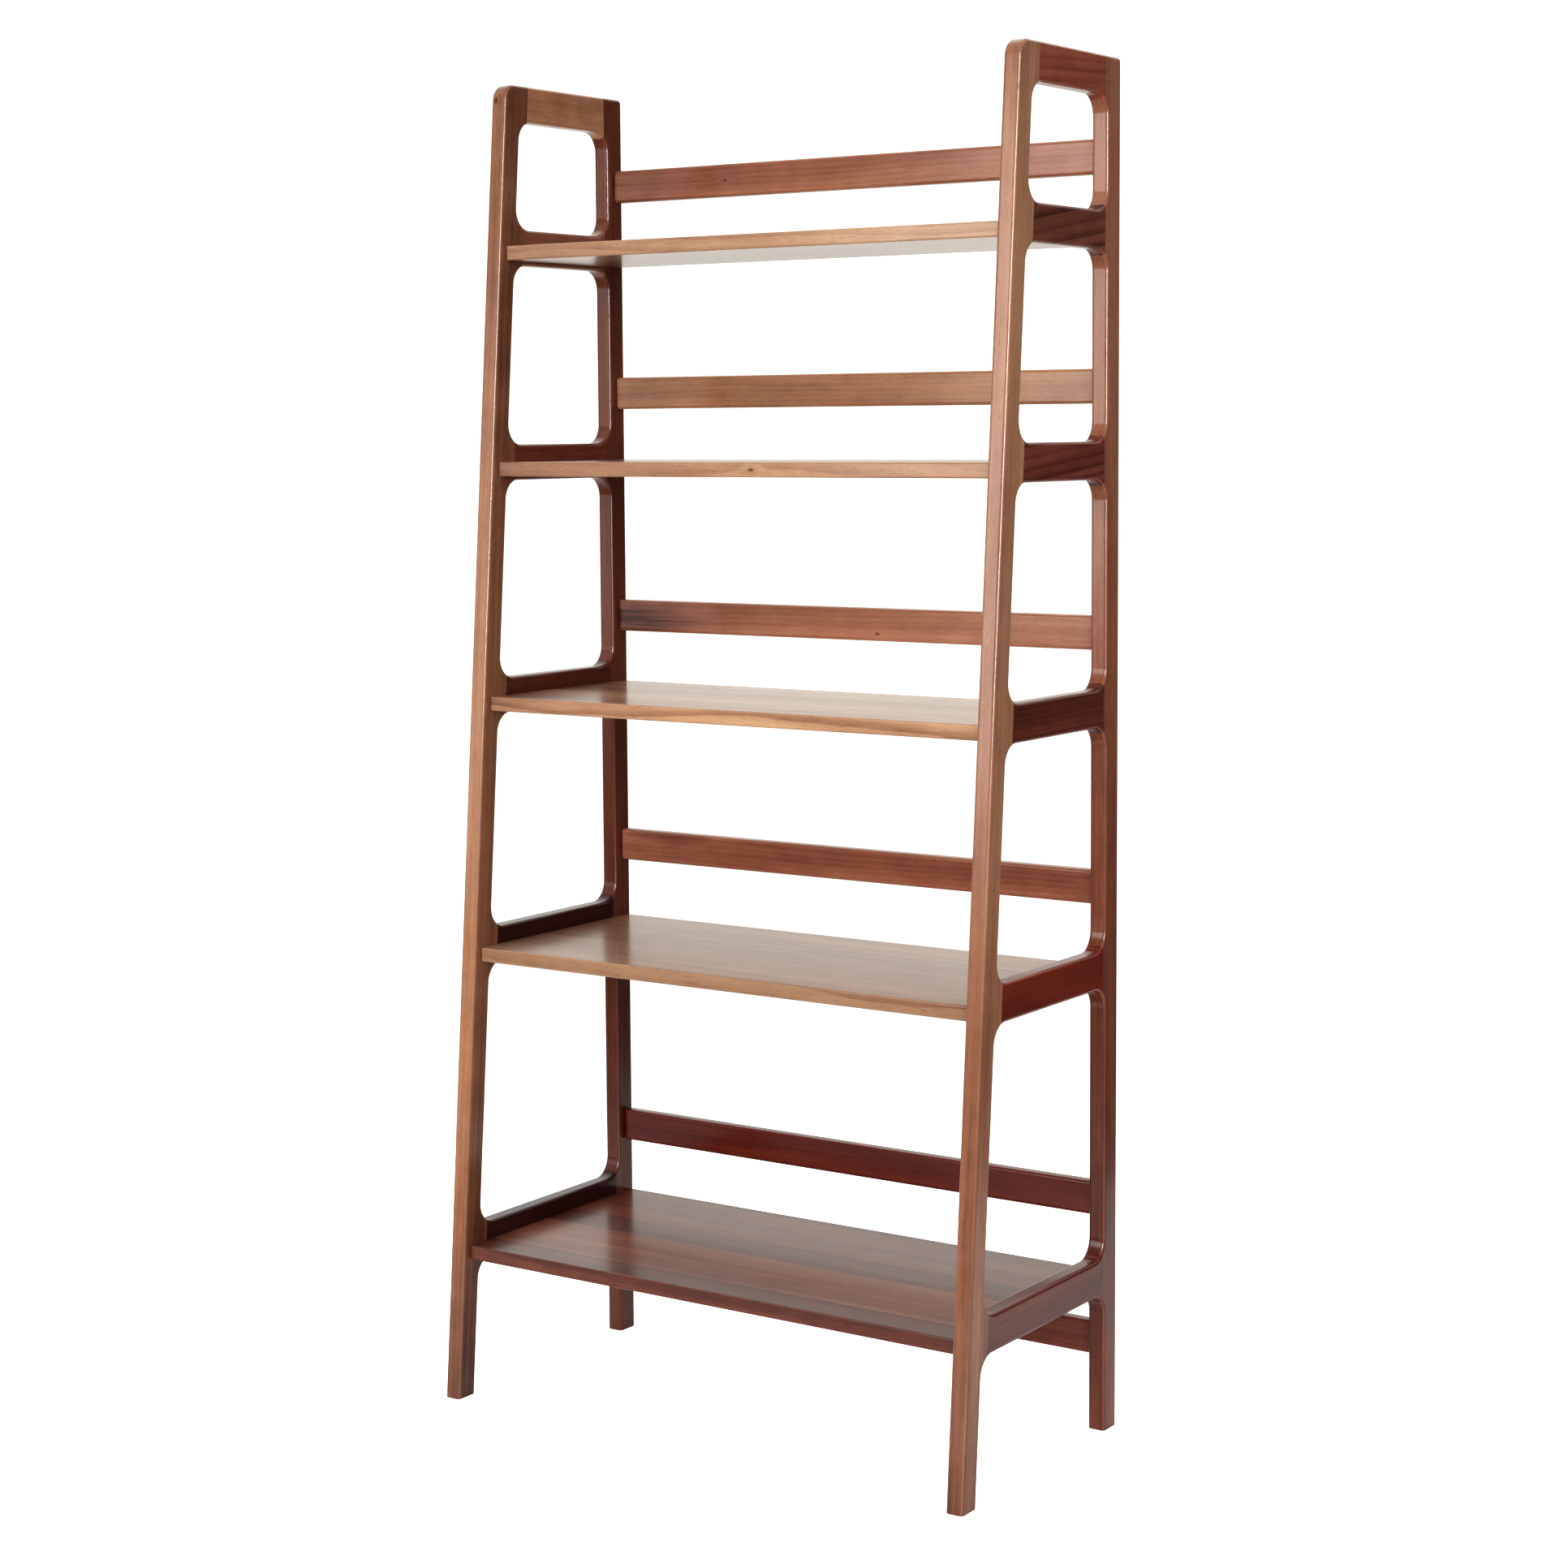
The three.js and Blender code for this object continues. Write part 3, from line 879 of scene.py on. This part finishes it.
class Walnut(Recipe):
    """Lacquered walnut: growth rings about the tree's heart, bands, fibres, pores and knots."""

    def __init__(self, node):
        super().__init__(bpy.data.materials.new(f"walnut_{node}"))
        rake = bpy.context.scene.ladder_sizes.rake
        self.lean = math.atan(rake) if "front_leg" in node else 0.0
        self.grain = "Z" if "leg" in node else "Y" if "side_rail" in node or "top" in node else "X"
        low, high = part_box(node)
        self.face = low.y
        self.centre = (low + high) / 2
        self.plank = PLANKS[node]
        self.seed = 1 + list(PLANKS).index(node)
        self.colours = plank_colours(self.plank)
        self.body = self.add("ShaderNodeTexCoord").outputs["Object"]

    def lay_grain(self):
        """The member turned so that its grain runs along X and the tree's heart lies at 0."""
        plank = self.plank
        turn = {
            "X": (0.0, plank.tilt, 0.0),
            "Y": (plank.tilt, 0.0, -math.pi / 2),
            "Z": (self.lean + plank.tilt, math.pi / 2, 0.0),
        }[self.grain]
        turned = Euler(turn).to_matrix() @ self.centre
        shift = (1.7 * self.seed, -turned.y - plank.pith[0], -turned.z - plank.pith[1])
        settings = {"Vector": self.body, "Location": shift, "Rotation": turn}
        return self.add("ShaderNodeMapping", settings).outputs["Vector"]

    def glue_strips(self, spot):
        """Gives each glued-up strip its own grain and tone, with a fine seam between them."""
        width = GLUED_WIDTH / self.plank.strips
        depth = self.axis(self.body, "Y")
        strip = self.math(
            "DIVIDE", self.math("SUBTRACT", depth, self.centre.y - STRIP_ORIGIN), width
        )
        draw = self.math("ADD", self.math("FLOOR", strip), 31.7 * self.seed)
        dice = self.dice(draw)
        apart = self.vector("SUBTRACT", dice["Color"], (0.5, 0.5, 0.5))
        spot = self.vector("ADD", spot, self.vector("MULTIPLY", apart, STRIP_SPREAD))
        tone = self.math("MULTIPLY", self.centred(dice["Value"]), self.plank.contrast)
        rest = self.math("FRACT", strip)
        nearest = self.math("MINIMUM", rest, self.math("SUBTRACT", 1.0, rest))
        seam = self.fade(self.math("MULTIPLY", nearest, width), SEAM_LOW, SEAM_HIGH, 1.0, 0.0)
        return spot, tone, seam

    def reach(self, spot, stretch):
        """Distance from a mark that is longer along the grain than across it."""
        weights = [stretch if letter == self.grain else 1.0 for letter in "XYZ"]
        away = self.vector("SUBTRACT", self.body, spot)
        return self.vector("LENGTH", self.vector("MULTIPLY", away, weights))

    def grow_rings(self, wavy):
        """Distance from the tree's heart, pushed out round the knots, and the knots' cores."""
        radius = self.vector("LENGTH", self.vector("MULTIPLY", wavy, (0.0, 1.0, 1.0)))
        ragged = self.noise(wavy, RAGGED_RINGS, 2.0)[0]
        radius = self.math("MULTIPLY_ADD", ragged, RAGGEDNESS, radius)
        cores = None
        for *spot, size in self.plank.knots:
            reach = self.reach(spot, 0.55)
            swell = self.fade(reach, 0.0, size * 5.0, 1.0, 0.0)
            radius = self.math("MULTIPLY_ADD", swell, size * 2.2, radius)
            core = self.fade(reach, size * 0.45, size, 1.0, 0.0)
            cores = core if cores is None else self.math("MAXIMUM", cores, core)
        return radius, cores

    def late_wood(self, radius):
        """The dark line at the end of each ring, stronger in some years."""
        count = self.math("DIVIDE", radius, self.plank.ring)
        season = self.math("FRACT", count)
        rise = self.fade(season, LATE_START, LATE_END)
        fall = self.fade(season, LATE_END, 1.0, 1.0, 0.0)
        year = self.dice(self.math("FLOOR", count))["Value"]
        line = self.math("MULTIPLY", rise, fall)
        return self.math("MULTIPLY", line, self.math("MULTIPLY_ADD", year, 0.7, 0.3))

    def figure(self, wavy, radius, streaks, fibres):
        """How light the wood is from place to place, from 0 for a vein to 1 for a pale streak."""
        plank = self.plank
        bands = self.add(
            "ShaderNodeTexNoise",
            {"W": self.math("MULTIPLY", radius, BANDS), "Scale": 1.0, "Detail": 2.0},
            noise_dimensions="1D",
        ).outputs["Fac"]
        clouds = self.noise(wavy, CLOUDS, 3.0)[0]
        mottle = self.noise(wavy, MOTTLE, 2.0)[0]
        value = self.math("MULTIPLY_ADD", self.centred(bands), plank.band, TONE_STOPS[2])
        value = self.math("MULTIPLY_ADD", self.late_wood(radius), -plank.vein, value)
        coarse = ((clouds, CLOUD_STRENGTH), (streaks, plank.streak))
        fine = ((fibres, FIBRE_STRENGTH), (mottle, plank.curl))
        for pattern, strength in coarse + fine:
            value = self.math("MULTIPLY_ADD", self.centred(pattern), strength, value)
        for *spot, size in plank.heart:
            stripes = self.fade(self.noise(wavy, HEART_STRIPES, 1.5)[0], 0.35, 0.6, 1.0, 0.45)
            patch = self.fade(self.reach(spot, 0.2), size * 0.35, size, 1.0, 0.0)
            dark = self.math("MULTIPLY", patch, stripes)
            value = self.math("MULTIPLY_ADD", dark, -HEART_STRENGTH, value)
        return value

    def shade_along(self, value):
        """Paints shade on the faces behind the front face (painted light where that amount is negative)
        and changes the tone from one end to the other.
        """
        plank = self.plank
        # painted shade: the faces behind the front face are painted darker by plank.behind, and lighter
        # where it is negative
        if plank.behind:
            upright, depth = self.axis(self.body, "Z"), self.axis(self.body, "Y")
            depth = self.math("MULTIPLY_ADD", upright, -math.tan(self.lean), depth)
            deep = self.fade(depth, self.face + FRONT_SKIN_LOW, self.face + FRONT_SKIN_HIGH)
            value = self.math("MULTIPLY_ADD", deep, -plank.behind, value)
        if plank.drift:
            index = "XYZ".index(self.grain)
            along = self.axis(self.body, self.grain)
            span = self.fade(along, LOW[index], HIGH[index], curve="LINEAR")
            last = len(plank.drift) - 1
            steps = [(i / last, (0.5 + drift / 2,) * 3) for i, drift in enumerate(plank.drift)]
            shade = self.math("MULTIPLY_ADD", self.ramp(span, steps), 2.0, -1.0)
            value = self.math("MULTIPLY_ADD", shade, 0.5, value)
        return value

    def stain(self, value, pores, cores, seam):
        """The wood's colour, with its pores, knots and glue seams."""
        wood = self.ramp(value, list(zip(TONE_STOPS, self.colours)))
        vein = (*self.colours[0], 1.0)
        for mark, strength in ((pores, 0.45), (cores, 0.8), (seam, 0.6)):
            if mark is not None:
                wood = self.mix(self.math("MULTIPLY", mark, strength), wood, vein)
        return wood

    def rub_edges(self, wood, streaks):
        """Lighter wood where the rounded edges are rubbed."""
        normal = self.add("ShaderNodeNewGeometry").outputs["Normal"]
        flat = self.math("ABSOLUTE", self.axis(normal, "Z" if self.grain == "X" else "X"))
        square = self.math("MULTIPLY", flat, flat)
        across = self.math("SQRT", self.math("SUBTRACT", 1.0, square, clamp=True))
        rubbed = self.fade(self.math("MINIMUM", flat, across), 0.25, 0.65)
        rubbed = self.math("MULTIPLY", rubbed, self.math("MULTIPLY", streaks, 0.35))
        return self.mix(rubbed, wood, (*scaled(self.colours[3], 1.25), 1.0))

    def lacquer(self, wood, pores, fibres):
        """A satin lacquer coat over open pores and raised fibres."""
        height = self.math("MULTIPLY_ADD", pores, -0.8, self.math("MULTIPLY", fibres, 0.35))
        bump = self.add("ShaderNodeBump", {"Height": height, "Strength": 0.25, "Distance": 0.0002})
        haze = self.noise(self.body, (6.0, 6.0, 6.0), 3.0)[0]
        rough = self.math("MULTIPLY_ADD", fibres, 0.12, 0.30)
        rough = self.math("MULTIPLY_ADD", haze, 0.16, rough)
        shader = self.add(
            "ShaderNodeBsdfPrincipled",
            {
                "Base Color": wood,
                "Roughness": rough,
                "Normal": bump.outputs[0],
                "IOR": 1.45,
                "Specular IOR Level": 0.1,
                "Coat Weight": 1.0,
                "Coat IOR": 1.35,
                "Coat Roughness": 0.2,
            },
        )
        return self.surface(shader)

    def finish(self):
        """Puts the whole wood together."""
        spot, tone, seam = self.lay_grain(), 0.0, None
        if self.plank.strips:
            spot, tone, seam = self.glue_strips(spot)
        bend = self.vector("SUBTRACT", self.noise(spot, WAVES, 1.5)[1], (0.5, 0.5, 0.5))
        warp = (0.0, self.plank.warp, self.plank.warp)
        wavy = self.vector("ADD", spot, self.vector("MULTIPLY", bend, warp))
        radius, cores = self.grow_rings(wavy)
        streaks = self.noise(wavy, STREAKS, 2.5)[0]
        fibres = self.noise(wavy, FIBRES, 3.0, 0.6)[0]
        pores = self.fade(self.noise(wavy, PORES, 1.0)[0], 0.60, 0.72)
        value = self.shade_along(self.figure(wavy, radius, streaks, fibres))
        value = self.math("ADD", value, tone, clamp=True)
        wood = self.rub_edges(self.stain(value, pores, cores, seam), streaks)
        return self.lacquer(wood, pores, fibres)


def beech():
    """Pale beech with short flecks, for the dowels."""
    known = bpy.data.materials.get("beech_dowel")
    if known:
        return known
    recipe = Recipe(bpy.data.materials.new("beech_dowel"))
    colours = bpy.context.scene.ladder_colours
    body = recipe.add("ShaderNodeTexCoord").outputs["Object"]
    grain = recipe.noise(body, (30.0, 700.0, 700.0), 3.0)[0]
    fleck = recipe.fade(recipe.noise(body, (260.0, 1500.0, 1500.0), 1.0)[0], 0.6, 0.7)
    wood = recipe.ramp(grain, [(0.25, colours.beech_dark), (0.75, colours.beech_light)])
    wood = recipe.mix(recipe.math("MULTIPLY", fleck, 0.5), wood, (*colours.beech_fleck, 1.0))
    bump = recipe.add("ShaderNodeBump", {"Height": grain, "Strength": 0.3, "Distance": 0.0002})
    rough = recipe.math("MULTIPLY_ADD", grain, 0.2, 0.5)
    shader = recipe.add(
        "ShaderNodeBsdfPrincipled",
        {"Base Color": wood, "Roughness": rough, "Normal": bump.outputs[0]},
    )
    return recipe.surface(shader)


# ---- stage


@dataclass
class Softbox:
    """A soft rectangular light."""

    name: str
    spot: tuple
    target: tuple
    size: tuple  # width and height
    power: float
    lights_wood: bool = True
    shows_in_lacquer: bool = True


SOFTBOXES = (
    Softbox("front_softbox", (-1.25, -3.3, 1.75), (0.1, 0.0, 1.0), (1.0, 1.8), 36.0),
    Softbox("left_softbox", (-3.4, -3.2, 1.4), (-0.2, 0.0, 0.9), (1.4, 1.8), 14.0),
    Softbox(
        "front_fill", (1.4, -6.5, 2.4), (0.0, 0.0, 0.8), (6.0, 4.0), 150.0, shows_in_lacquer=False
    ),
    Softbox("right_fill", (4.6, -3.0, 2.2), (0.0, 0.0, 0.9), (2.5, 3.0), 92.0),
    Softbox(
        "arris_strip", (3.1, -2.9, 2.0), (-0.4, -0.1, 2.0), (0.4, 1.9), 220.0, lights_wood=False
    ),
)
CEILING_POWER = 1.5
CEILING_SPREAD = 130.0

FLOOR_RADIUS = 1.7
FLOOR_GLOW = 0.8
WHITE = (1.0, 1.0, 1.0, 1.0)
WALL_TINT = (1.0, 0.985, 0.92, 1.0)
WALL_WAY = (-0.56, 0.83, 0.0)  # where the pale wall stands behind the shelf
WALL_START, WALL_END = 0.55, 0.88
WALL_DARK, WALL_BRIGHT = 0.02, 0.78
VIEW_GAMMA = 0.88
VIEW_EXPOSURE = 0.4


def lay_floor(colours):
    """A pale round floor that is white to the eye."""
    clear_selection()
    bpy.ops.mesh.primitive_circle_add(vertices=96, radius=FLOOR_RADIUS, fill_type="NGON")
    floor = newest("pale_floor")
    recipe = Recipe(bpy.data.materials.new("pale_floor"))
    body = recipe.add("ShaderNodeTexCoord").outputs["Object"]
    cloud = recipe.noise(body, (0.8, 0.8, 0.8), 2.0)[0]
    pale = tuple(colours.floor)
    shade = recipe.ramp(cloud, [(0.3, scaled(pale, 0.98)), (0.7, scaled(pale, 1.02))])
    seen = recipe.add("ShaderNodeLightPath").outputs["Is Camera Ray"]
    shader = recipe.add(
        "ShaderNodeBsdfPrincipled",
        {
            "Base Color": shade,
            "Roughness": 0.7,
            "Emission Color": WHITE,
            "Emission Strength": recipe.math("MULTIPLY", seen, FLOOR_GLOW),
        },
    )
    floor.data.materials.append(recipe.surface(shader))


def surround(scene):
    """White surroundings to the eye, which light the shelf only with a pale wall behind it."""
    scene.view_settings.view_transform = "Standard"
    scene.view_settings.gamma = VIEW_GAMMA
    scene.view_settings.exposure = VIEW_EXPOSURE
    scene.world = bpy.data.worlds.new("studio")
    recipe = Recipe(scene.world)
    way = recipe.add("ShaderNodeTexCoord").outputs["Generated"]
    level = recipe.vector("NORMALIZE", recipe.vector("MULTIPLY", way, (1.0, 1.0, 0.0)))
    toward = recipe.vector("DOT_PRODUCT", level, WALL_WAY)
    wall = recipe.fade(toward, WALL_START, WALL_END, WALL_DARK, WALL_BRIGHT)
    seen = recipe.add("ShaderNodeLightPath").outputs["Is Camera Ray"]
    tint = recipe.mix(seen, WALL_TINT, WHITE)
    glow = recipe.math("MAXIMUM", wall, seen)
    background = recipe.add("ShaderNodeBackground", {"Color": tint, "Strength": glow})
    recipe.surface(background, "ShaderNodeOutputWorld")


def hang_lights():
    """An even ceiling and the softboxes."""
    clear_selection()
    bpy.ops.object.light_add(type="SUN", location=(0.0, 0.0, 5.0))
    ceiling = newest("ceiling")
    ceiling.data.energy = CEILING_POWER
    ceiling.data.angle = math.radians(CEILING_SPREAD)
    for softbox in SOFTBOXES:
        clear_selection()
        bpy.ops.object.light_add(type="AREA", location=softbox.spot)
        light = newest(softbox.name)
        light.data.shape = "RECTANGLE"
        light.data.size, light.data.size_y = softbox.size
        light.data.energy = softbox.power
        aim = Vector(softbox.target) - Vector(softbox.spot)
        light.rotation_euler = aim.to_track_quat("-Z", "Y").to_euler()
        light.visible_camera = False
        light.visible_diffuse = softbox.lights_wood
        light.visible_glossy = softbox.shows_in_lacquer


def place_camera(scene):
    """The camera, in front and to the right at chest height."""
    clear_selection()
    bpy.ops.object.camera_add(location=CAMERA_SPOT)
    camera = newest("camera")
    yaw, pitch, roll = CAMERA_TURN
    turns = ((yaw, "Z"), (math.pi / 2 - pitch, "X"), (roll, "Z"))
    first, second, third = (Matrix.Rotation(angle, 3, axis) for angle, axis in turns)
    camera.rotation_euler = (first @ second @ third).to_euler()
    camera.data.lens = CAMERA_LENS
    camera.data.sensor_width = CAMERA_SENSOR
    camera.data.shift_x, camera.data.shift_y = CAMERA_SHIFT
    camera.data.clip_end = 200.0
    scene.camera = camera


def set_stage(scene):
    """Pale floor, white surroundings, soft lights and the camera."""
    lay_floor(scene.ladder_colours)
    surround(scene)
    hang_lights()
    place_camera(scene)


# ---- operators and panel


class LADDER_OT_legs(bpy.types.Operator):
    """Cuts the front and back legs out of whole side frames"""

    bl_idname = "ladder.legs"
    bl_label = "Legs"

    def execute(self, context):
        cut_legs(context.scene.ladder_sizes)
        return {"FINISHED"}


class LADDER_OT_side_rails(bpy.types.Operator):
    """Cuts the top rails and side rails out of whole side frames"""

    bl_idname = "ladder.side_rails"
    bl_label = "Side rails"

    def execute(self, context):
        cut_side_rails(context.scene.ladder_sizes)
        return {"FINISHED"}


class LADDER_OT_boards(bpy.types.Operator):
    """Shapes the five shelf boards"""

    bl_idname = "ladder.boards"
    bl_label = "Shelf boards"

    def execute(self, context):
        shape_boards(context.scene.ladder_sizes)
        return {"FINISHED"}


class LADDER_OT_back_rails(bpy.types.Operator):
    """Shapes the six back rails"""

    bl_idname = "ladder.back_rails"
    bl_label = "Back rails"

    def execute(self, context):
        shape_back_rails(context.scene.ladder_sizes)
        return {"FINISHED"}


class LADDER_OT_dowels(bpy.types.Operator):
    """Turns the fluted dowels that hold the boards"""

    bl_idname = "ladder.dowels"
    bl_label = "Dowels"

    def execute(self, context):
        turn_dowels(context.scene.ladder_sizes)
        return {"FINISHED"}


class LADDER_OT_stage(bpy.types.Operator):
    """Sets the floor, the surroundings, the lights and the camera"""

    bl_idname = "ladder.stage"
    bl_label = "Stage"

    def execute(self, context):
        set_stage(context.scene)
        return {"FINISHED"}


class LADDER_PT_panel(bpy.types.Panel):
    """The ladder shelf's steps, sizes and colours"""

    bl_idname = "LADDER_PT_panel"
    bl_label = "Ladder shelf"
    bl_space_type = "VIEW_3D"
    bl_region_type = "UI"
    bl_category = "Ladder shelf"

    def draw(self, context):
        column = self.layout.column(align=True)
        for step in STEPS:
            column.operator(step.bl_idname)
        for settings in (context.scene.ladder_sizes, context.scene.ladder_colours):
            for name in type(settings).__annotations__:
                self.layout.prop(settings, name)


STEPS = (
    LADDER_OT_stage,
    LADDER_OT_legs,
    LADDER_OT_side_rails,
    LADDER_OT_boards,
    LADDER_OT_back_rails,
    LADDER_OT_dowels,
)


CLASSES = (LadderSizes, LadderColours, *STEPS, LADDER_PT_panel)


def register():
    for item in CLASSES:
        bpy.utils.register_class(item)
    bpy.types.Scene.ladder_sizes = bpy.props.PointerProperty(type=LadderSizes)
    bpy.types.Scene.ladder_colours = bpy.props.PointerProperty(type=LadderColours)


def unregister():
    del bpy.types.Scene.ladder_colours
    del bpy.types.Scene.ladder_sizes
    for item in reversed(CLASSES):
        bpy.utils.unregister_class(item)


def main():
    register()
    bpy.ops.ladder.stage()
    bpy.ops.ladder.legs()
    bpy.ops.ladder.side_rails()
    bpy.ops.ladder.boards()
    bpy.ops.ladder.back_rails()
    bpy.ops.ladder.dowels()
    clear_selection()


if __name__ == "__main__":
    main()
